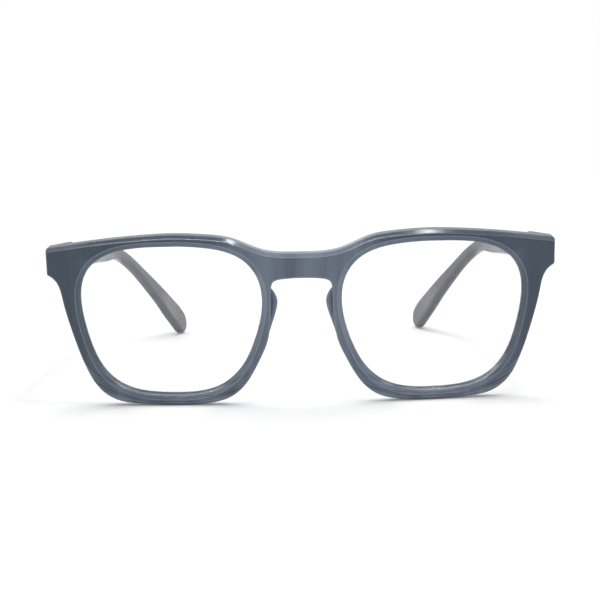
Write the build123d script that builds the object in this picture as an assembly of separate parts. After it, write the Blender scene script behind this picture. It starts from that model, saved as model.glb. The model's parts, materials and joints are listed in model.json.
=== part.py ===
from build123d import *
from math import asin, cos, hypot, radians, sin, sqrt
import os

# Square acetate eyeglasses, standing open on the lower rims and the temple tips.
# Millimetres, +Z up. The wearer looks along -Y, so +X is the wearer's left, and the temples run back along +Y.
# The front is drawn upright, with its lower edge on z = 0 and its face on y = 0, and then leans forward.
# The hinges and temples are drawn as they stand. The origin ends up at the bottom centre of the whole.

# The lenses: boxed size, gap between the two boxes
lens_width = 51.5
lens_height = 43.0
bridge_width = 21.0
lens_thickness = 2.0
lens_curve_radius = 265.0
groove_depth = 0.5
lens_clearance = 0.05

# The front, seen square on: acetate beside, under and over the lens box
end_width = 8.5
rim_below = 2.4
rim_above = 2.7
end_corner_radius = 0.8

# The front, seen from above: flat bridge, wrapped rims and end pieces that turn back
rim_thickness = 4.2
bridge_flat_width = 24.8
wrap_radius = 265.0
end_bend_radius = 60.0
front_lean = 5.0
end_piece_thickness = 4.6
block_ramp = 3.0
block_depth = 14.0

# Facets and rounded edges of the front
brow_facet_width = 1.0
brow_facet_depth = 1.2
opening_facet_width = 1.3
opening_facet_depth = 0.7
front_edge_radius = 0.5
back_edge_radius = 0.8
opening_back_radius = 0.5

# Nose pads: most of an ellipsoid glued behind each rim
pad_reach = 5.0
pad_offset = 1.0
pad_half_width = 2.7
pad_half_height = 6.8
pad_splay = 20.0
pad_tilt = -8.0

# Temples
temple_thickness = 4.0
tip_thickness = 3.4
temple_reach = 125.5
butt_gap = 0.1
temple_edge_radius = 1.4
ear_angle = 41.0
core_width = 1.8
core_thickness = 1.0
core_clearance = 0.08

# Five-barrel hinges
barrel_diameter = 3.0
knuckle_height = 1.2
knuckle_gap = 0.05
barrel_standoff = 0.1
leaf_thickness = 1.0
front_leaf_width = 4.0
temple_leaf_length = 9.0
anchor_width = 2.2
anchor_depth = 1.6
screw_diameter = 1.4
screw_clearance = 0.04
head_diameter = 2.3
head_height = 0.6
slot_width = 0.35
slot_depth = 0.3

# How far the cutting shapes reach past the part, counts, and how closely its walls are recognised
overrun = 5.0
knuckle_count = 5
outline_pieces = 4
square_share = 0.02
near_share = 0.01

# Sizes that follow from the ones above
half_width = bridge_width / 2 + lens_width + end_width
front_height = rim_below + lens_height + rim_above
lens_centre_x = (bridge_width + lens_width) / 2
lens_centre_z = rim_below + lens_height / 2
bridge_flat_half = bridge_flat_width / 2
wrap_end_angle = asin((half_width - end_width - bridge_flat_half) / wrap_radius)
barrel_radius = barrel_diameter / 2
knuckle_pitch = knuckle_height + knuckle_gap
stack_height = knuckle_count * knuckle_pitch - knuckle_gap

# Outline of a lens, as shares of half its boxed width and height, from the top and round by the temple side
lens_shares = [
    (-0.008, 1), (0.27, 0.989), (0.531, 0.945), (0.792, 0.812), (0.96, 0.557), (1, 0.252), (0.961, -0.089),
    (0.893, -0.388), (0.766, -0.687), (0.55, -0.899), (0.299, -0.982), (0.019, -1), (-0.261, -0.985),
    (-0.511, -0.902), (-0.732, -0.69), (-0.872, -0.398), (-0.953, -0.108), (-0.999, 0.232), (-0.965, 0.542),
    (-0.806, 0.805), (-0.551, 0.943), (-0.289, 0.989),
]

# Outline of half the front, from the end piece to the centre line, over the brow and round under the rim.
# Across, 0 to 1 is half the bridge, 1 to 2 the lens box and 2 to 3 the end piece.
# Up, 0 to 1 is the rim under the box, 1 to 2 the box and 2 to 3 the rim over it.
brow_shares = [
    (3, 1.971), (1.9, 2.333), (1.653, 2.83), (1.456, 2.996), (1.298, 2.848), (1.19, 2.585), (1.111, 2.081),
    (1.002, 1.951), (0.755, 1.938), (0, 1.93),
]
lower_shares = [
    (3, 1.797), (2.675, 1.745), (2.512, 1.633), (2.247, 1.423), (1.972, 1.184), (1.904, 1.049),
    (1.816, 0.608), (1.679, 0.158), (1.472, 0), (1.321, 0.221), (1.191, 0.942), (1.106, 1.084),
    (1.036, 1.223), (0.915, 1.37), (0.833, 1.495), (0.81, 1.612), (0.8, 1.698), (0.746, 1.746),
    (0.499, 1.767), (0, 1.773),
]

# Block behind each end piece: where it starts to thicken and where it is full, in the same shares
block_low_share = 1.62
block_full_share = 1.75

# Centre of a nose pad, in the same shares
pad_place_share = (0.886, 1.549)

# Temple seen from the side: shares of its reach behind the seat, and of the height of its top at the seat
temple_upper_shares = [
    (0, 1), (0.131, 0.977), (0.272, 0.948), (0.412, 0.912), (0.541, 0.864), (0.617, 0.837), (0.673, 0.801),
    (0.726, 0.729), (0.781, 0.62), (0.833, 0.507), (0.884, 0.4), (0.938, 0.299), (0.983, 0.197),
    (0.999, 0.122), (0.984, 0.027),
]
temple_lower_shares = [
    (0.948, 0.005), (0.921, 0.063), (0.884, 0.162), (0.837, 0.291), (0.792, 0.427), (0.748, 0.554),
    (0.706, 0.643), (0.671, 0.697), (0.628, 0.726), (0.57, 0.731), (0.493, 0.744), (0.386, 0.764),
    (0.235, 0.789), (0.106, 0.808), (0, 0.822),
]

# Middle line of the metal core, in the same shares
core_shares = [
    (0.13, 0.891), (0.324, 0.856), (0.485, 0.816), (0.604, 0.785), (0.678, 0.743), (0.743, 0.634),
    (0.808, 0.476), (0.873, 0.315), (0.932, 0.181),
]

# Inner face of a temple seen along the drop: shares of its reach, and of its distance from the centre at the root
temple_inner_shares = [
    (-0.12, 1), (-0.05, 1), (0, 1), (0.04, 1), (0.08, 1), (0.12, 1), (0.3, 0.985), (0.45, 0.972),
    (0.56, 0.951), (0.64, 0.927), (0.71, 0.895), (0.78, 0.858), (0.85, 0.82), (0.92, 0.78), (1, 0.738),
    (1.08, 0.704), (1.16, 0.666), (1.3, 0.6),
]
ear_height_share = 0.78


def box_place(across, up, side=1, y=-overrun):
    """Point of the upright front, from its shares across and up."""
    if across < 1:
        x = across * bridge_width / 2
    elif across < 2:
        x = bridge_width / 2 + (across - 1) * lens_width
    else:
        x = bridge_width / 2 + lens_width + (across - 2) * end_width
    if up < 1:
        z = up * rim_below
    elif up < 2:
        z = rim_below + (up - 1) * lens_height
    else:
        z = rim_below + lens_height + (up - 2) * rim_above
    return Vector(side * x, y, z)


# The bend of the end pieces, seen from above
bend_centre_x = bridge_flat_half + (wrap_radius - end_bend_radius) * sin(wrap_end_angle)
bend_centre_y = wrap_radius - (wrap_radius - end_bend_radius) * cos(wrap_end_angle)


def wrap_point(angle, depth):
    """Place of the front seen from above, at an angle of turn and a depth behind its face."""
    if angle <= wrap_end_angle:
        radius = wrap_radius - depth
        return bridge_flat_half + radius * sin(angle), wrap_radius - radius * cos(angle)
    radius = end_bend_radius - depth
    return bend_centre_x + radius * sin(angle), bend_centre_y - radius * cos(angle)


def end_angle_at(x):
    """Angle of turn at which the face of the end piece reaches a distance from the centre line."""
    return asin((x - bend_centre_x) / end_bend_radius)


def depth_of(point):
    """How deep a point of the upright front lies behind its face."""
    x = abs(point.X)
    if x <= bridge_flat_half:
        return point.Y
    if x <= half_width - end_width:
        return wrap_radius - hypot(x - bridge_flat_half, point.Y - wrap_radius)
    return end_bend_radius - hypot(x - bend_centre_x, point.Y - bend_centre_y)


face_depth = wrap_point(end_angle_at(half_width), 0)[1]

# Height of the lowest point of the rounded rims once the front leans, which is brought down to the floor
lowest_x = box_place(*next(share for share in lower_shares if share[1] == 0)).X
lowest_depth = wrap_radius - sqrt(wrap_radius**2 - (lowest_x - bridge_flat_half) ** 2)
turn = radians(front_lean)
floor_gap = lowest_depth * sin(turn) + front_edge_radius * (cos(turn) + sin(turn) - 1)


def box_between(low, high):
    """Box from one corner to the opposite one."""
    size = [b - a for a, b in zip(low, high)]
    centre = tuple((a + b) / 2 for a, b in zip(low, high))
    return Location(centre) * Box(*size)


def polygon(corners):
    """Flat face with straight sides."""
    return Face(Wire.make_polygon([Vector(*corner) for corner in corners], close=True))


def through(face):
    """Prism from the plane in front of the frame to well behind it."""
    return extrude(face, amount=2 * overrun + block_depth, dir=(0, 1, 0))


def leaned(shape):
    """Lean a shape of the upright front forward and stand it on the floor."""
    return Location((0, 0, -floor_gap)) * Rot(X=front_lean) * shape


def leaned_place(y, z):
    """Depth and height of a point of the upright front once it stands."""
    return y * cos(turn) - z * sin(turn), y * sin(turn) + z * cos(turn) - floor_gap


# Where the hinges sit, as the front stands
end_top_z = box_place(*brow_shares[0]).Z
end_mid_z = (end_top_z + box_place(*lower_shares[0]).Z) / 2
seat_depth = face_depth + end_piece_thickness
seat_y = leaned_place(seat_depth, end_mid_z)[0]
temple_top = leaned_place(seat_depth, end_top_z)[1]
hinge_mid_z = leaned_place(seat_depth, end_mid_z)[1]
temple_inner_x = half_width - temple_thickness
hinge_x = temple_inner_x - barrel_radius - barrel_standoff
hinge_y = seat_y + barrel_radius + barrel_standoff
stack_bottom = hinge_mid_z - stack_height / 2
stack_top = hinge_mid_z + stack_height / 2
temple_root_y = seat_y + butt_gap


# The acetate front
def half_path(depth, side):
    """Wrap and bend of one half of the front at a depth, with their first and last points."""
    last_angle = end_angle_at(half_width + overrun / 2)

    def at(angle):
        x, y = wrap_point(angle, depth)
        return Vector(side * x, y, -overrun)

    bend_start = Vector(side * wrap_point(wrap_end_angle, depth)[0], wrap_point(wrap_end_angle, depth)[1], -overrun)
    wrap = Edge.make_three_point_arc(at(0), at(wrap_end_angle / 2), bend_start)
    bend = Edge.make_three_point_arc(bend_start, at((wrap_end_angle + last_angle) / 2), at(last_angle))
    return [wrap, bend], at(0), at(last_angle)


def band(front_depth, back_depth):
    """Slab that follows the front between two depths, taller and wider than the front."""
    edges = []
    ends = {}
    for depth in (front_depth, back_depth):
        starts = []
        for side in (-1, 1):
            arcs, start, ends[depth, side] = half_path(depth, side)
            edges += arcs
            starts.append(start)
        edges.append(Edge.make_line(*starts))
    for side in (-1, 1):
        edges.append(Edge.make_line(ends[front_depth, side], ends[back_depth, side]))
    return extrude(Face(Wire(edges)), amount=front_height + 2 * overrun, dir=(0, 0, 1))


def outline_face():
    """Outline of the whole front, in the plane one overrun in front of it."""

    def both_sides(shares):
        return [box_place(*share, side=-1) for share in shares[:-1]] + [box_place(*share) for share in reversed(shares)]

    brow = both_sides(brow_shares)
    lower = both_sides(lower_shares)
    ends = [Edge.make_line(brow[0], lower[0]), Edge.make_line(brow[-1], lower[-1])]
    return Face(Wire([Edge.make_spline(brow), Edge.make_spline(lower), *ends]))


def lens_outline(side, grow):
    """Outline of one lens, grown all round, in the same plane."""
    reach_x = side * (lens_width / 2 + grow)
    reach_z = lens_height / 2 + grow
    centre = Vector(side * lens_centre_x, -overrun, lens_centre_z)
    points = [centre + Vector(x * reach_x, 0, z * reach_z) for x, z in lens_shares]
    return Face(Wire([Edge.make_spline(points, periodic=True)]))


def lens_blank(side, clearance=0.0):
    """Lens with its bevelled edge, or with a clearance the tool that cuts its groove."""
    sag = (lens_height / 2) ** 2 / (2 * lens_curve_radius)
    face_y = (rim_thickness - lens_thickness - sag) / 2 - clearance
    centre = Location((side * bridge_flat_half, face_y + lens_curve_radius, lens_centre_z))
    outer = centre * Sphere(lens_curve_radius)
    inner = centre * Sphere(lens_curve_radius - lens_thickness - 2 * clearance)
    blank = through(lens_outline(side, clearance)) & (outer - inner)
    rims = blank.edges().filter_by(lambda edge: edge.length > lens_width)
    return chamfer(rims, groove_depth)


def end_block(side):
    """Thick block behind one end piece, in which the hinge sits, with a ramp under it and on its inner side."""
    inner_x = half_width - end_width
    plan = [
        (inner_x, face_depth),
        (inner_x + block_ramp, block_depth),
        (half_width + overrun, block_depth),
        (half_width + overrun, face_depth + rim_thickness / 2),
        (half_width - end_width / 2, face_depth),
    ]
    plan_prism = extrude(polygon([(side * x, y, 0) for x, y in plan]), amount=front_height, dir=(0, 0, 1))
    low = box_place(0, block_low_share).Z
    full = box_place(0, block_full_share).Z
    top = front_height + overrun
    profile = [(0, low), (face_depth, low), (block_depth, full), (block_depth, top), (0, top)]
    profile_face = polygon([(0, y, z) for y, z in profile])
    return plan_prism & extrude(profile_face, amount=side * (half_width + overrun), dir=(1, 0, 0))


def is_opening(wall):
    """Whether a wall of the front is that of a lens opening."""
    box = wall.bounding_box()
    return lens_width / 2 < box.size.X < lens_width and box.size.Z > lens_height / 2


def walls(body, choose):
    """Faces of the upright front that run from front to back and that a test chooses."""
    return [face for face in body.faces() if abs(face.normal_at().Y) < square_share and choose(face)]


def wall_edges(body, choose, depth):
    """Edges of the chosen walls that lie at a depth behind the face."""
    near = rim_thickness * near_share
    edges = [edge for wall in walls(body, choose) for edge in wall.edges() if edge.length > end_corner_radius / 4]
    return [edge for edge in edges if all(abs(depth_of(edge.position_at(t)) - depth) < near for t in (0.1, 0.5, 0.9))]


def is_brow(wall):
    """Whether a wall is the one along the brow."""
    return wall.bounding_box().min.Z > lens_centre_z + lens_height / 4 and not is_end(wall)


def is_lower(wall):
    """Whether a wall is the one round under the rims, the nose and the keyhole."""
    return wall.bounding_box().size.X > lens_width and not is_brow(wall)


def is_end(wall):
    """Whether a wall is the outer end of an end piece."""
    return wall.bounding_box().size.X < end_corner_radius and abs(wall.center().X) > half_width - end_corner_radius


def front_body():
    """The leaned front, with its facets, grooves and hinge seats."""
    outline = through(outline_face())
    slab = band(0, rim_thickness)
    for side in (-1, 1):
        slab += end_block(side)
    body = outline & slab
    behind_seat = box_between(
        (-half_width - overrun, seat_y, -overrun),
        (half_width + overrun, seat_y + block_depth, front_height + 2 * overrun),
    )
    body -= Rot(X=-front_lean) * Location((0, 0, floor_gap)) * behind_seat
    for side in (-1, 1):
        body -= through(lens_outline(side, -groove_depth))

    brow_wall = walls(body, is_brow)[0]
    brow = wall_edges(body, is_brow, 0)
    body = chamfer(brow, brow_facet_depth, length2=brow_facet_width, reference=brow_wall)
    body = fillet(wall_edges(body, is_lower, 0), front_edge_radius)
    body = fillet(wall_edges(body, is_end, 0), front_edge_radius)
    for side in (-1, 1):

        def beside(wall):
            return is_opening(wall) and side * wall.bounding_box().center().X > 0

        rim = wall_edges(body, beside, 0)
        body = chamfer(rim, opening_facet_depth, length2=opening_facet_width, reference=walls(body, beside)[0])
        body = fillet(wall_edges(body, beside, rim_thickness), opening_back_radius)
    body = fillet(wall_edges(body, is_lower, rim_thickness), back_edge_radius)
    end_edges = [edge for wall in walls(body, is_end) for edge in wall.edges()]
    corners = [edge for edge in end_edges if abs(edge.tangent_at(0.5).Y) > 1 - square_share]
    body = fillet(corners, end_corner_radius)
    for side in (-1, 1):
        body -= lens_blank(side, lens_clearance)
    return leaned(body)


def nose_pad():
    """Built-up pad: an ellipsoid cut flat where it is glued on and flush with the lens opening."""
    ellipsoid = scale(Sphere(1), by=(pad_half_width, pad_reach, pad_half_height))
    place = box_place(*pad_place_share, y=rim_thickness + pad_offset)
    pad = Location(tuple(place)) * Rot(Y=pad_tilt) * Rot(Z=-pad_splay) * ellipsoid
    in_front = box_between((-half_width, -block_depth, -overrun), (half_width, rim_thickness, front_height + overrun))
    return leaned(pad - in_front - through(lens_outline(1, -groove_depth)))


# The hinges, drawn on the wearer's left
def knuckle_span(index):
    """Bottom and top of one knuckle, counted from below."""
    low = stack_bottom + index * knuckle_pitch
    return low, low + knuckle_height


def pin(radius, low, high):
    """Cylinder about the hinge axis."""
    return Location((hinge_x, hinge_y, (low + high) / 2)) * Cylinder(radius, high - low)


def screw_bore():
    """Bore through the whole stack."""
    return pin(screw_diameter / 2 + screw_clearance, stack_bottom - overrun, stack_top + overrun)


def front_plate():
    """Plate of the front leaf with its anchor, as it lies in the end piece."""
    high_x = hinge_x + barrel_radius
    plate = box_between(
        (high_x - front_leaf_width, seat_y - leaf_thickness, stack_bottom),
        (high_x, seat_y, stack_top),
    )
    anchor_x = high_x - front_leaf_width / 2
    anchor = box_between(
        (anchor_x - anchor_width / 2, seat_y - leaf_thickness - anchor_depth, stack_bottom + knuckle_height),
        (anchor_x + anchor_width / 2, seat_y - leaf_thickness, stack_top - knuckle_height),
    )
    return plate + anchor


def temple_plate(skin=0.0):
    """Plate of the temple leaf with its anchor, as it lies in the temple, or with a skin the cut for it."""
    low_y = hinge_y - barrel_radius
    low_z = stack_bottom + knuckle_pitch
    high_z = stack_top - knuckle_pitch
    outer_x = temple_inner_x + leaf_thickness
    plate = box_between((temple_inner_x - skin, low_y, low_z), (outer_x, low_y + temple_leaf_length, high_z))
    anchor_y = low_y + temple_leaf_length / 2
    anchor = box_between(
        (outer_x, anchor_y - anchor_width / 2, low_z + knuckle_height / 2),
        (outer_x + anchor_depth, anchor_y + anchor_width / 2, high_z - knuckle_height / 2),
    )
    return plate + anchor


def front_leaf():
    """Front half of a hinge: three knuckles with their webs, on a plate."""
    leaf = front_plate()
    for index in range(0, knuckle_count, 2):
        low, high = knuckle_span(index)
        web = box_between((hinge_x - barrel_radius, seat_y, low), (hinge_x + barrel_radius, hinge_y, high))
        leaf += pin(barrel_radius, low, high) + web
    return leaf - screw_bore()


def temple_leaf():
    """Temple half of a hinge: two knuckles with their webs, on a plate."""
    leaf = temple_plate()
    for index in range(1, knuckle_count, 2):
        low, high = knuckle_span(index)
        web = box_between((hinge_x, hinge_y - barrel_radius, low), (temple_inner_x, hinge_y + barrel_radius, high))
        leaf += pin(barrel_radius, low, high) + web
    return leaf - screw_bore()


def hinge_screw():
    """Screw with a slotted head that rests on the top knuckle."""
    screw = pin(screw_diameter / 2, stack_bottom, stack_top) + pin(head_diameter / 2, stack_top, stack_top + head_height)
    slot = box_between(
        (hinge_x - head_diameter, hinge_y - slot_width / 2, stack_top + head_height - slot_depth),
        (hinge_x + head_diameter, hinge_y + slot_width / 2, stack_top + head_height + overrun),
    )
    return screw - slot


# The temples, drawn on the wearer's left
def temple_place(share):
    """Point of the side view of a temple."""
    return Vector(0, temple_root_y + share[0] * temple_reach, share[1] * temple_top)


def sideways(face):
    """Prism of a side view, wide enough for a whole temple."""
    return extrude(face, amount=half_width + overrun, dir=(1, 0, 0))


def temple_side():
    """Prism with the side view of a temple."""
    upper = [temple_place(share) for share in temple_upper_shares]
    lower = [temple_place(share) for share in temple_lower_shares]
    outline = Edge.make_spline(upper + lower)
    pieces = [outline.trim(index / outline_pieces, (index + 1) / outline_pieces) for index in range(outline_pieces)]
    butt = Edge.make_line(lower[-1], upper[0])
    return sideways(Face(Wire([*pieces, butt])))


def temple_slab(thickness_of):
    """Slab that bends in at the ear, with a thickness that a function gives along its reach."""
    faces = []
    for direction in (-1, 1):
        points = []
        for along, inward in temple_inner_shares:
            taper = min(1.0, max(0.0, along))
            acetate = temple_thickness + (tip_thickness - temple_thickness) * taper
            x = inward * temple_inner_x + acetate / 2 + direction * thickness_of(acetate) / 2
            points.append(Vector(x, temple_root_y + along * temple_reach, ear_height_share * temple_top))
        faces.append(Edge.make_spline(points))
    ends = [Edge.make_line(faces[0].position_at(t), faces[1].position_at(t)) for t in (0, 1)]
    drop = radians(ear_angle)
    up_the_drop = Vector(0, sin(drop), cos(drop)) * (2 * temple_top)
    plan = Location(tuple(up_the_drop * -1)) * Face(Wire(faces + ends))
    return extrude(plan, amount=4 * temple_top, dir=tuple(up_the_drop))


def core(clearance=0.0):
    """Flat metal core that follows the middle of a temple, or with a clearance the hollow that it lies in."""
    line = Edge.make_spline([temple_place(share) for share in core_shares])
    edges = []
    corners = []
    for direction in (-1, 1):
        points = []
        for index in range(len(core_shares)):
            t = index / (len(core_shares) - 1)
            along = line.tangent_at(t)
            across = Vector(0, -along.Z, along.Y) * direction
            points.append(line.position_at(t) + across * (core_width / 2 + clearance))
        start = points[0] - line.tangent_at(0) * clearance
        end = points[-1] + line.tangent_at(1) * clearance
        edges.append(Edge.make_spline(points))
        if clearance:
            edges += [Edge.make_line(start, points[0]), Edge.make_line(points[-1], end)]
        corners.append((start, end))
    edges += [Edge.make_line(corners[0][index], corners[1][index]) for index in (0, 1)]
    return sideways(Face(Wire(edges))) & temple_slab(lambda acetate: core_thickness + 2 * clearance)


def temple_body():
    """Temple with rounded long edges, its hinge pocket and the hollow for its core."""
    body = temple_side() & temple_slab(lambda acetate: acetate)
    long_edges = [edge for edge in body.edges() if edge.length > temple_reach / 4]
    body = fillet(long_edges, temple_edge_radius)
    return body - temple_plate(overrun) - core(core_clearance)


def build():
    """Every node by name, as the glasses stand, in the frame that the drawing uses."""
    sides = {"left": 1, "right": -1}
    nodes = {"front": front_body()}
    left_drawn = {
        "lens": leaned(lens_blank(1)),
        "nose_pad": nose_pad(),
        "temple": temple_body(),
        "core_wire": core(),
        "front_hinge": front_leaf(),
        "temple_hinge": temple_leaf(),
        "hinge_screw": hinge_screw(),
    }
    for name, side in sides.items():
        for kind, shape in left_drawn.items():
            placed = shape if side > 0 else mirror(shape, Plane.YZ)
            nodes[f"{kind}_{name}"] = placed
        nodes["front"] -= mirror(front_plate(), Plane.YZ) if side < 0 else front_plate()
    return nodes


nodes = build()
boxes = [shape.bounding_box() for shape in nodes.values()]
low_y = min(box.min.Y for box in boxes)
high_y = max(box.max.Y for box in boxes)
low_z = min(box.min.Z for box in boxes)
to_origin = Location((0, -(low_y + high_y) / 2, -low_z))
os.makedirs("parts", exist_ok=True)
for name, shape in nodes.items():
    placed = to_origin * shape
    export_step(placed, f"parts/{name}.step")
print("front lowest", nodes["front"].bounding_box().min.Z, "temple lowest", nodes["temple_left"].bounding_box().min.Z)
print("shift", to_origin.position)
print("hinge axis", hinge_x, hinge_y + to_origin.position.Y, hinge_mid_z + to_origin.position.Z)
print("width", 2 * half_width, "depth", high_y - low_y)
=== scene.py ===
import json
import math

import bpy
import numpy as np
from mathutils import Matrix, Vector


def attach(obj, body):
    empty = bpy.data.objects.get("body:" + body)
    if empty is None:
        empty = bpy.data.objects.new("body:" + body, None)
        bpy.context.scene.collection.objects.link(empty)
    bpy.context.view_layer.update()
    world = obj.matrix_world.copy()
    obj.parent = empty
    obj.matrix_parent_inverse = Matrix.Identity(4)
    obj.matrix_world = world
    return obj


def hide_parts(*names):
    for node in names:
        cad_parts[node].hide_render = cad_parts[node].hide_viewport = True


# Square acetate eyeglasses on a white table, seen from in front and a little above.
# Metres, unless a comment says otherwise. The wearer looks along -Y, so +X is the wearer's left, on the right of
# the picture. A pair of numbers named SPAN, HEIGHTS, COSINES or LEVELS says where a mask starts and where it is full.

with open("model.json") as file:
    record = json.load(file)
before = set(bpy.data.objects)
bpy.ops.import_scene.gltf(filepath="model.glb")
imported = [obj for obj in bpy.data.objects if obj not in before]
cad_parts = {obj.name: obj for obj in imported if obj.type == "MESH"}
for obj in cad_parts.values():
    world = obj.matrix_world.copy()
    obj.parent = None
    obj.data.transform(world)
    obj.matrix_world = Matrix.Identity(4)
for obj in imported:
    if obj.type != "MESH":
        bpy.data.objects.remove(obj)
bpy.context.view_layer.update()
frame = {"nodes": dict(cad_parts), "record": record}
nodes = frame["nodes"]

SIDES = {"left": 1.0, "right": -1.0}

# Camera: place, turns in degrees, and focal length as a share of the picture's width
CAMERA_PLACE = (-0.0026, -0.41506, 0.07683)
CAMERA_PITCH = 7.773
CAMERA_YAW = 0.343
CAMERA_ROLL = -1.3
CAMERA_FOCAL_SHARE = 1283.3 / 600.0
CAMERA_SENSOR = 36.0
CAMERA_NEAREST = 0.01

# Table and lights: turns and angles in degrees, powers in watts
WHITE = (1.0, 1.0, 1.0, 1)
TABLE_SIZE = 40.0
TABLE_COLOUR = (0.9, 0.9, 0.9, 1)
TABLE_ROUGHNESS = 0.9
TABLE_GLOW = 0.11
WORLD_STRENGTH = 0.36
TOP_LIGHT_TURN = (-42.0, 0.0, 0.0)
TOP_LIGHT_ANGLE = 80.0
TOP_LIGHT_STRENGTH = 2.75
STRIP_PLACE = (-0.1, -0.50, 0.50)
STRIP_AIM = (-0.02, -0.06, 0.04)
STRIP_SIZE = (0.7, 0.05)
STRIP_POWER = 6.5
SIDE_BOX_PLACE = (0.168, -0.152, 0.715)
SIDE_BOX_AIM = (0.0, -0.06, 0.04)
SIDE_BOX_SIZE = (0.11, 0.11)
SIDE_BOX_POWER = 0.8

# Colours, linear
SLATE_LIGHT = (0.168, 0.208, 0.282, 1)
SLATE_DEEP = (0.094, 0.124, 0.174, 1)
# Deep slate of the thicker parts, also painted shade on the end pieces and the brow
SLATE_THICK_SHADE = (0.018, 0.038, 0.066, 1)
# Light slate: painted light on the facets, the painted highlight line along each edge, and the bright streaks of the
# lower rims
SLATE_HIGHLIGHT_AND_STREAK = (0.350, 0.425, 0.520, 1)
# Dark slate: painted shade on the walls, and the dark streaks of the lower rims
SLATE_SHADE_AND_STREAK = (0.022, 0.028, 0.042, 1)
# Painted sheen near the front of the temples, standing for the reflection seen there at a grazing angle
TEMPLE_SHEEN = (0.150, 0.176, 0.226, 1)
TEMPLE_LIGHT = (0.056, 0.072, 0.102, 1)
TEMPLE_DEEP = (0.026, 0.038, 0.060, 1)
HINGE_TONES = (0.46, 0.45, 0.43, 1), (0.68, 0.67, 0.64, 1)
WIRE_TONES = (0.40, 0.40, 0.40, 1), (0.60, 0.60, 0.59, 1)

# Acetate of every piece: clouds, the haze and ripple of the polish, and rounded edges
ACETATE_IOR = 1.49
CLOUD_SQUEEZE = (1.0, 0.8, 0.16)
CLOUD_LEVELS = (0.36, 0.66)
HAZE_SIZE = 420.0
NOISE_LEVELS = (0.3, 0.7)
RIPPLE_DEPTH = 0.0001
RIPPLE = 0.03
EDGE_RADIUS = 0.0006
EDGE_SAMPLES = 6
FRONT_CLOUDS = 110.0
FRONT_ROUGHNESS = (0.10, 0.17)
TEMPLE_CLOUDS = 70.0
TEMPLE_ROUGHNESS = (0.15, 0.20)
TEMPLE_SHEEN_SPAN = (0.030, -0.020)

# Front: darker end pieces and brow, where the acetate is thicker, with painted shade laid there too
END_SPAN = (0.050, 0.066)
END_SHADE_SHARE = 0.85
END_DULL = 0.3
BROW_SPAN = (0.014, 0.026)
BROW_HEIGHTS = (0.036, 0.043)
BROW_SHADE_SHARE = 0.78

# Front: painted light on the facets, stronger towards the nose and not along the top of the bridge
FACET_COSINES = (0.97, 0.90)
FACET_LIGHT_SHARE = 0.12
NOSE_SPAN = (0.056, 0.012)
NOSE_LIGHT_SHARE = 0.16
CREST_SPAN = (0.024, 0.012)
CREST_HEIGHTS = (0.035, 0.039)
STEEP_COSINES = (0.82, 0.70)
STEEP_SHARE = 0.6

# Front: streaks of the lower rims
STREAK_HEIGHTS = (0.018, 0.006)
STREAK_SIZE = 46.0
STREAK_ALONG = 0.09
STREAK_BRIGHT_LEVELS = (0.50, 0.68)
STREAK_BRIGHT_SHARE = 0.45
STREAK_DARK_LEVELS = (0.48, 0.34)
STREAK_DARK_SHARE = 0.5

# Front: painted shade on the walls, a painted highlight line along each edge, and the dull parts
WALL_COSINES = (0.50, 0.20)
WALL_SHADE_SHARE = 0.85
WALL_SPAN = (0.016, 0.03)
HIGHLIGHT_LINE_RADIUS = 0.0003
HIGHLIGHT_LINE_COSINES = (0.9995, 0.985)
HIGHLIGHT_LINE_SHARE = 0.6
TOP_COSINES = (0.80, 0.95)
TOP_DULL = 0.5
CORNER_COSINES = (0.90, 0.75)
CORNER_SPAN = (0.019, 0.015)
CORNER_DULL = 0.35

# Face of the front: flat to here, then two arcs, each from a centre line with a radius; it leans by these degrees
FACE_ARCS = ((0.0124, 0.265), (0.05078, 0.060))
FRONT_LEAN = 5.0

# Lens openings: centre and half size across and up, and the power of their rounded outline
LENS_CENTRE = (0.03625, 0.0258)
LENS_HALF = (0.02575, 0.0215)
LENS_SQUARENESS = 2.7

# Lens: the body hardly bends light, and the coat alone gives the reflections
LENS_IOR = 1.04
LENS_COAT_IOR = 1.5

# Metal: squeeze and size of the fine lines, and roughness from the bright to the dull ones
RING_SQUEEZE = (0.2, 0.2, 1.0)
RING_SIZE = 9000.0
RING_ROUGHNESS = (0.2, 0.34)
RING_RIPPLE = 0.08
RING_EDGE_RADIUS = 0.00012
WIRE_SQUEEZE = (1.0, 0.03, 1.0)
WIRE_SIZE = 6000.0
WIRE_ROUGHNESS = (0.3, 0.45)

# Nose pads, millimetres: height, how far the nose side comes in, depth and width of each section
PAD_HEIGHTS = (17.7, 18.9, 20.6, 22.7, 25.0, 27.4, 29.0, 30.7, 31.9, 32.6)
PAD_INNER = (10.0, 9.45, 8.97, 8.21, 7.42, 6.75, 6.68, 7.28, 8.0, 8.7)
PAD_DEPTHS = (0.0, 1.9, 3.2, 4.3, 5.1, 5.4, 4.9, 3.7, 2.2, 0.0)
PAD_WIDTHS = (0.0, 0.9, 1.6, 2.3, 2.6, 2.9, 2.8, 2.2, 1.4, 0.0)
PAD_SPLAY = 12.0
PAD_SUNK = 0.7
PAD_ROUNDNESS = 0.8
PAD_BLUR = 4
PAD_CAP = 3
PAD_ROWS = 48
PAD_TURNS = 56
FRONT_BACK = -60.62
MILLIMETRE = 0.001

# Sockets of a colour mix
MIX_FIRST = 6
MIX_SECOND = 7
MIX_RESULT = 2


# Shader helpers
def new_material(name):
    """Empty node material with its output and one Principled shader."""
    material = bpy.data.materials.new(name)
    material.use_nodes = True
    tree = material.node_tree
    tree.nodes.clear()
    out = tree.nodes.new("ShaderNodeOutputMaterial")
    skin = tree.nodes.new("ShaderNodeBsdfPrincipled")
    tree.links.new(skin.outputs["BSDF"], out.inputs["Surface"])
    return material, tree, skin


def set_inputs(made, values):
    """Plain values for the named inputs of a node."""
    for name, value in values.items():
        made.inputs[name].default_value = value


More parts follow.
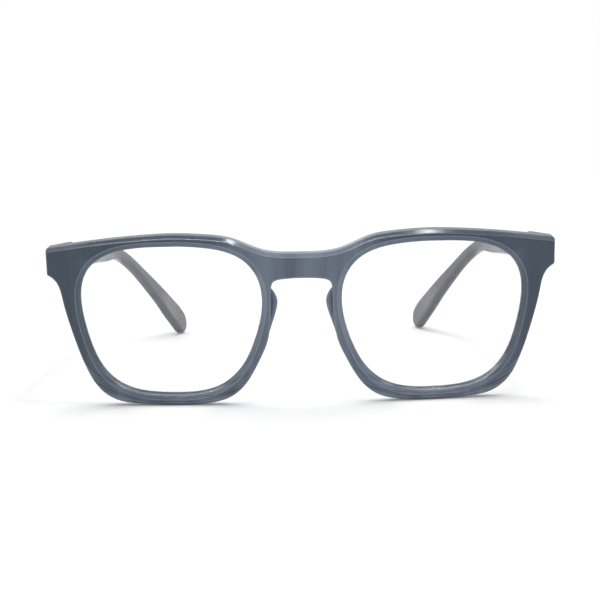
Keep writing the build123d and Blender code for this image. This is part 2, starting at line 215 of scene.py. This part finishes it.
def node(tree, kind, **values):
    """Shader node with some of its settings or input values given by name."""
    made = tree.nodes.new(kind)
    for key, value in values.items():
        if hasattr(made, key):
            setattr(made, key, value)
        else:
            made.inputs[key.replace("_", " ")].default_value = value
    return made


def new_group(name, inputs, outputs):
    """Node group with its sockets, given as names and kinds, and its own input and output nodes."""
    group = bpy.data.node_groups.new(name, "ShaderNodeTree")
    for way, sockets in (("INPUT", inputs), ("OUTPUT", outputs)):
        for socket, kind in sockets.items():
            group.interface.new_socket(name=socket, in_out=way, socket_type="NodeSocket" + kind)
    return group, node(group, "NodeGroupInput"), node(group, "NodeGroupOutput")


def use_group(tree, group, values):
    """Node that stands for a group, with its own values."""
    made = tree.nodes.new("ShaderNodeGroup")
    made.node_tree = group
    set_inputs(made, values)
    return made


def maths(tree, operation, first, second=0.0):
    """Math node on two values, each a socket or a number."""
    made = node(tree, "ShaderNodeMath", operation=operation)
    for socket, value in ((made.inputs[0], first), (made.inputs[1], second)):
        if isinstance(value, (int, float)):
            socket.default_value = value
        else:
            tree.links.new(value, socket)
    return made.outputs[0]


def product(tree, first, second):
    """Two values multiplied."""
    return maths(tree, "MULTIPLY", first, second)


def steps(tree, value, span, highest=1.0):
    """Mask that grows smoothly from 0 to the highest share while the value goes through the span."""
    grow = node(tree, "ShaderNodeMapRange", interpolation_type="SMOOTHSTEP")
    set_inputs(grow, {"From Min": span[0], "From Max": span[1], "To Max": highest})
    tree.links.new(value, grow.inputs["Value"])
    return grow.outputs["Result"]


def place_on_object(tree):
    """X, Y and Z of the place on the object, as sockets."""
    place = tree.nodes.new("ShaderNodeTexCoord")
    split = tree.nodes.new("ShaderNodeSeparateXYZ")
    tree.links.new(place.outputs["Object"], split.inputs["Vector"])
    return split.outputs


def ramp_along(tree, axis, span, both_ways=False):
    """Mask that grows smoothly from 0 to 1 between two places along an axis of the object."""
    value = place_on_object(tree)[axis]
    if both_ways:
        value = maths(tree, "ABSOLUTE", value)
    return steps(tree, value, span)


def mix_colour(tree, mask, first, second):
    """Mix of two colours, each a socket or a fixed colour, by a mask."""
    mix = node(tree, "ShaderNodeMix", data_type="RGBA")
    tree.links.new(mask, mix.inputs["Factor"])
    for socket, colour in ((mix.inputs[MIX_FIRST], first), (mix.inputs[MIX_SECOND], second)):
        if isinstance(colour, tuple):
            socket.default_value = colour
        else:
            tree.links.new(colour, socket)
    return mix.outputs[MIX_RESULT]


def dot_product(tree, first, second):
    """Cosine between two directions."""
    same = node(tree, "ShaderNodeVectorMath", operation="DOT_PRODUCT")
    tree.links.new(first, same.inputs[0])
    tree.links.new(second, same.inputs[1])
    return same.outputs["Value"]


# Effects that several materials share
ROUGHNESS_INPUTS = {"Lowest Roughness": "Float", "Highest Roughness": "Float"}
FINISH_OUTPUTS = {"Colour": "Color", "Roughness": "Float", "Height": "Float"}


def roughness_by_noise(group, given, noise, result):
    """The noise spreads the roughness between the group's two limits, and is the height of its ripple."""
    link = group.links.new
    haze = node(group, "ShaderNodeMapRange", From_Min=NOISE_LEVELS[0], From_Max=NOISE_LEVELS[1])
    link(noise.outputs["Fac"], haze.inputs["Value"])
    link(given.outputs["Lowest Roughness"], haze.inputs["To Min"])
    link(given.outputs["Highest Roughness"], haze.inputs["To Max"])
    link(haze.outputs["Result"], result.inputs["Roughness"])
    link(noise.outputs["Fac"], result.inputs["Height"])


def polished_clouds():
    """Group for cast acetate: soft upright clouds between two colours, with a faint polish pattern.

    The cloud mask is a noise over the place squeezed upright, sharpened between two levels. The roughness and
    the height follow a much finer noise, as the haze and ripple that a buffing wheel leaves.
    """
    sockets = {"Light": "Color", "Deep": "Color", "Size": "Float", **ROUGHNESS_INPUTS}
    group, given, result = new_group("polished clouds", sockets, FINISH_OUTPUTS)
    link = group.links.new
    place = node(group, "ShaderNodeTexCoord")
    squeeze = node(group, "ShaderNodeMapping")
    set_inputs(squeeze, {"Scale": CLOUD_SQUEEZE})
    link(place.outputs["Object"], squeeze.inputs["Vector"])
    clouds = node(group, "ShaderNodeTexNoise", Detail=4.0, Roughness=0.55, Distortion=0.5)
    link(squeeze.outputs["Vector"], clouds.inputs["Vector"])
    link(given.outputs["Size"], clouds.inputs["Scale"])
    mask = node(group, "ShaderNodeMapRange", From_Min=CLOUD_LEVELS[0], From_Max=CLOUD_LEVELS[1])
    link(clouds.outputs["Fac"], mask.inputs["Value"])
    colour = mix_colour(group, mask.outputs["Result"], given.outputs["Deep"], given.outputs["Light"])
    link(colour, result.inputs["Colour"])
    fine = node(group, "ShaderNodeTexNoise", Scale=HAZE_SIZE, Detail=2.0, Roughness=0.5)
    link(place.outputs["Object"], fine.inputs["Vector"])
    roughness_by_noise(group, given, fine, result)
    return group


def fine_lines():
    """Group for drawn and turned metal: noise squeezed into fine lines, as a tone and a roughness."""
    sockets = {"Squeeze": "Vector", "Size": "Float", "Dark": "Color", "Bright": "Color", **ROUGHNESS_INPUTS}
    group, given, result = new_group("fine lines", sockets, FINISH_OUTPUTS)
    link = group.links.new
    place = node(group, "ShaderNodeTexCoord")
    squeeze = node(group, "ShaderNodeVectorMath", operation="MULTIPLY")
    link(place.outputs["Object"], squeeze.inputs[0])
    link(given.outputs["Squeeze"], squeeze.inputs[1])
    lines = node(group, "ShaderNodeTexNoise", Detail=2.0)
    link(squeeze.outputs["Vector"], lines.inputs["Vector"])
    link(given.outputs["Size"], lines.inputs["Scale"])
    colour = mix_colour(group, lines.outputs["Fac"], given.outputs["Dark"], given.outputs["Bright"])
    link(colour, result.inputs["Colour"])
    roughness_by_noise(group, given, lines, result)
    return group


def rounded_edges():
    """Group whose normal rounds each edge a little and carries the ripple of the polish."""
    sockets = {"Height": "Float", "Radius": "Float", "Ripple": "Float"}
    group, given, result = new_group("rounded edges", sockets, {"Normal": "Vector"})
    link = group.links.new
    edge = node(group, "ShaderNodeBevel", samples=EDGE_SAMPLES)
    link(given.outputs["Radius"], edge.inputs["Radius"])
    ripple = node(group, "ShaderNodeBump", Distance=RIPPLE_DEPTH)
    link(given.outputs["Ripple"], ripple.inputs["Strength"])
    link(given.outputs["Height"], ripple.inputs["Height"])
    link(edge.outputs["Normal"], ripple.inputs["Normal"])
    link(ripple.outputs["Normal"], result.inputs["Normal"])
    return group


CLOUDS = polished_clouds()
LINES = fine_lines()
ROUNDED = rounded_edges()


def add_clouds(tree, light, deep, size, roughness):
    """The cloud group with its own colours, size and limits of roughness."""
    values = {"Light": light, "Deep": deep, "Size": size}
    values["Lowest Roughness"], values["Highest Roughness"] = roughness
    return use_group(tree, CLOUDS, values)


def soften(tree, skin, finish, radius, ripple):
    """The group of rounded edges on the shader's normal, with the ripple of another group's height."""
    edges = use_group(tree, ROUNDED, {"Radius": radius, "Ripple": ripple})
    tree.links.new(finish.outputs["Height"], edges.inputs["Height"])
    tree.links.new(edges.outputs["Normal"], skin.inputs["Normal"])


# Masks of the front
def along_face(tree):
    """Cosine between the surface and the curved face of the front at the same distance from the middle.

    The face turns outwards by the sine (|x| - start) / radius of whichever arc turns more, and leans forward at
    the top. The result is 1 on the face itself, less on the facets, and about 0 on the walls.
    """
    where = place_on_object(tree)
    out = maths(tree, "ABSOLUTE", where["X"])
    side = maths(tree, "SIGN", where["X"])
    turn = 0.0
    for start, radius in FACE_ARCS:
        arc = maths(tree, "DIVIDE", maths(tree, "SUBTRACT", out, start), radius)
        turn = maths(tree, "MAXIMUM", arc, turn)
    rest = maths(tree, "SQRT", maths(tree, "SUBTRACT", 1.0, product(tree, turn, turn)))
    lean = math.radians(FRONT_LEAN)
    face = tree.nodes.new("ShaderNodeCombineXYZ")
    tree.links.new(product(tree, turn, side), face.inputs["X"])
    tree.links.new(product(tree, rest, -math.cos(lean)), face.inputs["Y"])
    tree.links.new(product(tree, rest, -math.sin(lean)), face.inputs["Z"])
    surface = tree.nodes.new("ShaderNodeTexCoord")
    cosine = dot_product(tree, surface.outputs["Normal"], face.outputs["Vector"])
    return maths(tree, "ABSOLUTE", cosine)


def round_the_lens(tree):
    """Noise in fine streaks that run round each lens, between 0 and 1.

    With u and v the place from the lens centre in half widths and half heights, a streak keeps to one value of
    (|u|^p + |v|^p)^(1/p), which is 1 on the lens's own outline, and changes slowly with |u| / (|u| + |v|).
    """
    where = place_on_object(tree)
    parts = []
    for value, centre, half in zip((maths(tree, "ABSOLUTE", where["X"]), where["Z"]), LENS_CENTRE, LENS_HALF):
        part = maths(tree, "DIVIDE", maths(tree, "SUBTRACT", value, centre), half)
        parts.append(maths(tree, "ABSOLUTE", part))
    powers = [maths(tree, "POWER", part, LENS_SQUARENESS) for part in parts]
    ring = maths(tree, "POWER", maths(tree, "ADD", *powers), 1.0 / LENS_SQUARENESS)
    along = maths(tree, "DIVIDE", parts[0], maths(tree, "ADD", *parts))
    flow = tree.nodes.new("ShaderNodeCombineXYZ")
    tree.links.new(ring, flow.inputs["X"])
    tree.links.new(product(tree, along, STREAK_ALONG), flow.inputs["Y"])
    streaks = node(tree, "ShaderNodeTexNoise", Scale=STREAK_SIZE, Detail=2.0, Distortion=0.2)
    tree.links.new(flow.outputs["Vector"], streaks.inputs["Vector"])
    return streaks.outputs["Fac"]


def facet_painted_light(tree, cosine):
    """Painted light on the facets: stronger towards the nose, less where they are steep, none on the crest."""
    nose = ramp_along(tree, "X", NOSE_SPAN, both_ways=True)
    pale = maths(tree, "ADD", product(tree, nose, NOSE_LIGHT_SHARE), FACET_LIGHT_SHARE)
    crest = product(tree, ramp_along(tree, "X", CREST_SPAN, both_ways=True), ramp_along(tree, "Z", CREST_HEIGHTS))
    pale = product(tree, pale, maths(tree, "SUBTRACT", 1.0, crest))
    steep = maths(tree, "SUBTRACT", 1.0, steps(tree, cosine, STEEP_COSINES, STEEP_SHARE))
    return product(tree, steps(tree, cosine, FACET_COSINES), product(tree, pale, steep))


# Materials
def front_acetate():
    """Polished translucent slate acetate.

    It is darker in the end pieces and the brow, where the acetate is thicker, deepened there with painted shade. The
    facets carry painted light, stronger towards the nose, and each edge a painted highlight line. The walls carry
    painted shade, and the sawn top and the ends are duller than the face. Fine streaks follow the lower rims.
    """
    material, tree, skin = new_material("slate acetate")
    clouds = add_clouds(tree, SLATE_LIGHT, SLATE_DEEP, FRONT_CLOUDS, FRONT_ROUGHNESS)
    soften(tree, skin, clouds, EDGE_RADIUS, RIPPLE)
    cosine = along_face(tree)

    ends = ramp_along(tree, "X", END_SPAN, both_ways=True)
    brow = product(tree, ramp_along(tree, "X", BROW_SPAN, both_ways=True), ramp_along(tree, "Z", BROW_HEIGHTS))
    # Darker end pieces and brow: thicker acetate, deepened with painted shade
    thick_shade = maths(tree, "MAXIMUM", product(tree, ends, END_SHADE_SHARE), product(tree, brow, BROW_SHADE_SHARE))
    colour = mix_colour(tree, thick_shade, clouds.outputs["Colour"], SLATE_THICK_SHADE)
    # Painted light on the facets, stronger towards the nose
    colour = mix_colour(tree, facet_painted_light(tree, cosine), colour, SLATE_HIGHLIGHT_AND_STREAK)

    streaks = round_the_lens(tree)
    low = ramp_along(tree, "Z", STREAK_HEIGHTS)
    bright = product(tree, steps(tree, streaks, STREAK_BRIGHT_LEVELS, STREAK_BRIGHT_SHARE), low)
    colour = mix_colour(tree, bright, colour, SLATE_HIGHLIGHT_AND_STREAK)
    dark = product(tree, steps(tree, streaks, STREAK_DARK_LEVELS, STREAK_DARK_SHARE), low)
    colour = mix_colour(tree, dark, colour, SLATE_SHADE_AND_STREAK)

    # Painted shade on the walls, away from the nose
    wall_shade = product(tree, steps(tree, cosine, WALL_COSINES, WALL_SHADE_SHARE), ramp_along(tree, "X", WALL_SPAN, True))
    colour = mix_colour(tree, wall_shade, colour, SLATE_SHADE_AND_STREAK)
    # Painted highlight line along each edge, where the rounded normal bends away from the plain one
    plain = tree.nodes.new("ShaderNodeNewGeometry")
    edge = node(tree, "ShaderNodeBevel", samples=EDGE_SAMPLES, Radius=HIGHLIGHT_LINE_RADIUS)
    bend = dot_product(tree, plain.outputs["Normal"], edge.outputs["Normal"])
    colour = mix_colour(tree, steps(tree, bend, HIGHLIGHT_LINE_COSINES, HIGHLIGHT_LINE_SHARE), colour, SLATE_HIGHLIGHT_AND_STREAK)
    tree.links.new(colour, skin.inputs["Base Color"])

    upright = tree.nodes.new("ShaderNodeSeparateXYZ")
    tree.links.new(plain.outputs["Normal"], upright.inputs["Vector"])
    top = steps(tree, upright.outputs["Z"], TOP_COSINES, TOP_DULL)
    corner = steps(tree, cosine, CORNER_COSINES, CORNER_DULL)
    corner = product(tree, corner, ramp_along(tree, "X", CORNER_SPAN, both_ways=True))
    dull = maths(tree, "MAXIMUM", maths(tree, "MAXIMUM", top, corner), product(tree, ends, END_DULL))
    tree.links.new(maths(tree, "ADD", clouds.outputs["Roughness"], dull), skin.inputs["Roughness"])
    skin.inputs["IOR"].default_value = ACETATE_IOR
    return material


def temple_acetate():
    """The same acetate on the temples, with a painted sheen towards the front, where they are seen at a grazing
    angle.
    """
    material, tree, skin = new_material("temple acetate")
    clouds = add_clouds(tree, TEMPLE_LIGHT, TEMPLE_DEEP, TEMPLE_CLOUDS, TEMPLE_ROUGHNESS)
    # Painted sheen towards the front of the temple
    colour = mix_colour(tree, ramp_along(tree, "Y", TEMPLE_SHEEN_SPAN), clouds.outputs["Colour"], TEMPLE_SHEEN)
    tree.links.new(colour, skin.inputs["Base Color"])
    tree.links.new(clouds.outputs["Roughness"], skin.inputs["Roughness"])
    skin.inputs["IOR"].default_value = ACETATE_IOR
    soften(tree, skin, clouds, EDGE_RADIUS, RIPPLE)
    return material


def lined_metal(name, squeeze, size, tones, roughness):
    """Metal with the group of fine lines on its colour and roughness."""
    material, tree, skin = new_material(name)
    values = {"Squeeze": squeeze, "Size": size}
    values["Dark"], values["Bright"] = tones
    values["Lowest Roughness"], values["Highest Roughness"] = roughness
    lines = use_group(tree, LINES, values)
    tree.links.new(lines.outputs["Colour"], skin.inputs["Base Color"])
    tree.links.new(lines.outputs["Roughness"], skin.inputs["Roughness"])
    skin.inputs["Metallic"].default_value = 1.0
    return material, tree, skin, lines


def hinge_metal():
    """Turned nickel silver: fine rings round the pin and a slightly dull polish."""
    parts = lined_metal("hinge metal", RING_SQUEEZE, RING_SIZE, HINGE_TONES, RING_ROUGHNESS)
    material, tree, skin, lines = parts
    soften(tree, skin, lines, RING_EDGE_RADIUS, RING_RIPPLE)
    return material


def drawn_wire():
    """Rolled core wire: fine lines along its length."""
    return lined_metal("core wire", WIRE_SQUEEZE, WIRE_SIZE, WIRE_TONES, WIRE_ROUGHNESS)[0]


def material_output(tree):
    """Output node of a material."""
    return next(made for made in tree.nodes if made.type == "OUTPUT_MATERIAL")


def clear_lens():
    """Clear, coated plastic lens that lets the light of the table through unchanged."""
    material, tree, skin = new_material("clear lens")
    set_inputs(skin, {"Base Color": WHITE, "Roughness": 0.0, "IOR": LENS_IOR, "Transmission Weight": 1.0})
    set_inputs(skin, {"Coat Weight": 1.0, "Coat Roughness": 0.0, "Coat IOR": LENS_COAT_IOR})
    clear = tree.nodes.new("ShaderNodeBsdfTransparent")
    ray = tree.nodes.new("ShaderNodeLightPath")
    mix = tree.nodes.new("ShaderNodeMixShader")
    light = maths(tree, "MAXIMUM", ray.outputs["Is Shadow Ray"], ray.outputs["Is Diffuse Ray"])
    tree.links.new(light, mix.inputs["Fac"])
    tree.links.new(skin.outputs["BSDF"], mix.inputs[1])
    tree.links.new(clear.outputs["BSDF"], mix.inputs[2])
    tree.links.new(mix.outputs["Shader"], material_output(tree).inputs["Surface"])
    return material


SLATE = front_acetate()
TEMPLE = temple_acetate()
FINISHES = {"lens": clear_lens(), "steel": hinge_metal(), "core": drawn_wire(), "acetate": SLATE}
for part in frame["record"]["subparts"]:
    of_temple = part["node"].startswith("temple_") and part["material_slot"] == "acetate"
    skins = nodes[part["node"]].data.materials
    skins.clear()
    skins.append(TEMPLE if of_temple else FINISHES[part["material_slot"]])


# Nose pads
def pad_sections():
    """Height, nose side, depth and width of each row, millimetres.

    Heights lie on a cosine, closer at the ends. The other values are read off the given lines and blurred a
    little. Width and depth shrink to nothing at both ends, which closes the skin at its poles.
    """
    share = (1 - np.cos(np.linspace(0, np.pi, PAD_ROWS))) / 2
    given = np.array(PAD_HEIGHTS)
    z = given[0] + (given[-1] - given[0]) * share
    cap = np.clip(PAD_CAP * np.sqrt(np.clip(4 * share * (1 - share), 0, 1)), 0, 1)
    rows = np.array([np.interp(z, given, row) for row in (PAD_INNER, PAD_DEPTHS, PAD_WIDTHS)])
    kernel = np.hanning(2 * PAD_BLUR + 1)
    padded = np.pad(rows, ((0, 0), (PAD_BLUR, PAD_BLUR)), mode="edge")
    inner, depth, width = (np.convolve(row, kernel / kernel.sum(), mode="valid") for row in padded)
    return z, inner, depth * cap, width * cap


def pad_faces(side):
    """Faces of a skin of rings between two poles, with the poles' points last."""
    around = np.arange(PAD_TURNS)
    after = (around + 1) % PAD_TURNS
    last = (PAD_ROWS - 3) * PAD_TURNS
    starts = np.arange(PAD_ROWS - 3)[:, None] * PAD_TURNS
    low = (starts + around[None, :]).ravel()
    low_after = (starts + after[None, :]).ravel()
    quads = np.stack([low, low_after, low_after + PAD_TURNS, low + PAD_TURNS], axis=1)
    foot = np.full(PAD_TURNS, last + PAD_TURNS)
    fans = np.stack([after, around, foot], axis=1), np.stack([last + around, last + after, foot + 1], axis=1)
    faces = quads.tolist() + fans[0].tolist() + fans[1].tolist()
    if side == "right":
        faces = [face[::-1] for face in faces]
    return faces


def nose_pad(side):
    """Built-up pad: sections stacked from low to high, each a rounded box of its own width and depth.

    A section is x = width/2 * cos(a)^(4/5), y = depth/2 * sin(a)^(4/5) with the signs kept, sheared outwards by
    the splay as it goes back, then moved sideways until its nose side lies on the given line.
    """
    z, inner, depth, width = pad_sections()
    a = np.linspace(0, 2 * np.pi, PAD_TURNS, endpoint=False)
    across = np.sign(np.cos(a)) * np.abs(np.cos(a)) ** PAD_ROUNDNESS
    back = np.sign(np.sin(a)) * np.abs(np.sin(a)) ** PAD_ROUNDNESS
    y = depth[:, None] * (1 + back[None, :]) / 2
    x = width[:, None] / 2 * across[None, :] + math.tan(math.radians(PAD_SPLAY)) * y
    x = x - x.min(axis=1, keepdims=True) + inner[:, None]
    place_back = FRONT_BACK - math.sin(math.radians(FRONT_LEAN)) * z
    y = y + place_back[:, None] - PAD_SUNK
    points = np.stack([SIDES[side] * x, y, np.broadcast_to(z[:, None], x.shape)], axis=-1) * MILLIMETRE
    ring = points[1:-1].reshape(-1, 3)
    poles = np.array([points[0].mean(axis=0), points[-1].mean(axis=0)])
    mesh = bpy.data.meshes.new("nose_pad_" + side + "_skin")
    mesh.from_pydata(np.concatenate([ring, poles]).tolist(), [], pad_faces(side))
    mesh.shade_smooth()
    mesh.materials.append(SLATE)
    pad = bpy.data.objects.new("nose_pad_" + side + "_skin", mesh)
    bpy.context.scene.collection.objects.link(pad)
    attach(pad, "front_body")
    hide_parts("nose_pad_" + side)


for side in SIDES:
    nose_pad(side)


# Studio
def white_rays(tree, plain, white):
    """One shader for the rays that light the object, the other for the camera and for what gloss and glass show."""
    ray = tree.nodes.new("ShaderNodeLightPath")
    mirrored = maths(tree, "MAXIMUM", ray.outputs["Is Glossy Ray"], ray.outputs["Is Transmission Ray"])
    mix = tree.nodes.new("ShaderNodeMixShader")
    tree.links.new(maths(tree, "MAXIMUM", ray.outputs["Is Camera Ray"], mirrored), mix.inputs["Fac"])
    tree.links.new(plain, mix.inputs[1])
    tree.links.new(white, mix.inputs[2])
    return mix.outputs["Shader"]


def table():
    """Large white table top."""
    size = TABLE_SIZE / 2
    mesh = bpy.data.meshes.new("table")
    mesh.from_pydata([(-size, -size, 0), (size, -size, 0), (size, size, 0), (-size, size, 0)], [], [(0, 1, 2, 3)])
    top = bpy.data.objects.new("table", mesh)
    bpy.context.scene.collection.objects.link(top)
    material, tree, skin = new_material("white table")
    set_inputs(skin, {"Base Color": TABLE_COLOUR, "Roughness": TABLE_ROUGHNESS, "Specular IOR Level": 0.0})
    glow = node(tree, "ShaderNodeEmission", Strength=TABLE_GLOW)
    both = tree.nodes.new("ShaderNodeAddShader")
    tree.links.new(skin.outputs["BSDF"], both.inputs[0])
    tree.links.new(glow.outputs["Emission"], both.inputs[1])
    seen = white_rays(tree, skin.outputs["BSDF"], both.outputs["Shader"])
    tree.links.new(seen, material_output(tree).inputs["Surface"])
    mesh.materials.append(material)


def lamp(name, place, aim, size, power, gloss_only=False):
    """Soft box: a rectangle of light that points at a place, or one that only shows in the polish."""
    light = bpy.data.lights.new(name, "AREA")
    light.shape = "RECTANGLE"
    light.size, light.size_y = size
    light.energy = power
    holder = bpy.data.objects.new(name, light)
    holder.location = place
    holder.rotation_euler = (Vector(aim) - Vector(place)).to_track_quat("-Z", "Y").to_euler()
    holder.visible_camera = False
    holder.visible_diffuse = not gloss_only
    bpy.context.scene.collection.objects.link(holder)


def studio():
    """White surroundings, one broad soft light overhead, a little behind the glasses, and two small soft boxes."""
    world = bpy.data.worlds.new("studio")
    bpy.context.scene.world = world
    world.use_nodes = True
    tree = world.node_tree
    light = tree.nodes["Background"]
    set_inputs(light, {"Color": WHITE, "Strength": WORLD_STRENGTH})
    white = tree.nodes.new("ShaderNodeBackground")
    set_inputs(white, {"Color": WHITE, "Strength": 1.0})
    seen = white_rays(tree, light.outputs["Background"], white.outputs["Background"])
    tree.links.new(seen, tree.nodes["World Output"].inputs["Surface"])
    sun = bpy.data.lights.new("overhead soft box", "SUN")
    sun.angle = math.radians(TOP_LIGHT_ANGLE)
    sun.energy = TOP_LIGHT_STRENGTH
    holder = bpy.data.objects.new("overhead soft box", sun)
    holder.rotation_euler = [math.radians(v) for v in TOP_LIGHT_TURN]
    bpy.context.scene.collection.objects.link(holder)
    lamp("front strip", STRIP_PLACE, STRIP_AIM, STRIP_SIZE, STRIP_POWER, gloss_only=True)
    lamp("upper side box", SIDE_BOX_PLACE, SIDE_BOX_AIM, SIDE_BOX_SIZE, SIDE_BOX_POWER)


def camera():
    """Camera with the photograph's place, turn and angle of view."""
    lens = bpy.data.cameras.new("camera")
    lens.sensor_fit = "HORIZONTAL"
    lens.sensor_width = CAMERA_SENSOR
    lens.lens = CAMERA_SENSOR * CAMERA_FOCAL_SHARE
    lens.clip_start = CAMERA_NEAREST
    holder = bpy.data.objects.new("camera", lens)
    pitch, yaw, roll = (math.radians(v) for v in (CAMERA_PITCH, CAMERA_YAW, CAMERA_ROLL))
    look = Vector((math.sin(yaw) * math.cos(pitch), math.cos(yaw) * math.cos(pitch), -math.sin(pitch)))
    right = Vector((math.cos(yaw), -math.sin(yaw), 0))
    up = right.cross(look)
    rolled_right = math.cos(roll) * right + math.sin(roll) * up
    rolled_up = -math.sin(roll) * right + math.cos(roll) * up
    turn = Matrix((rolled_right, rolled_up, -look)).transposed().to_4x4()
    holder.matrix_world = Matrix.Translation(CAMERA_PLACE) @ turn
    bpy.context.scene.collection.objects.link(holder)
    bpy.context.scene.camera = holder


camera()
table()
studio()
bpy.context.scene.view_settings.view_transform = "Standard"
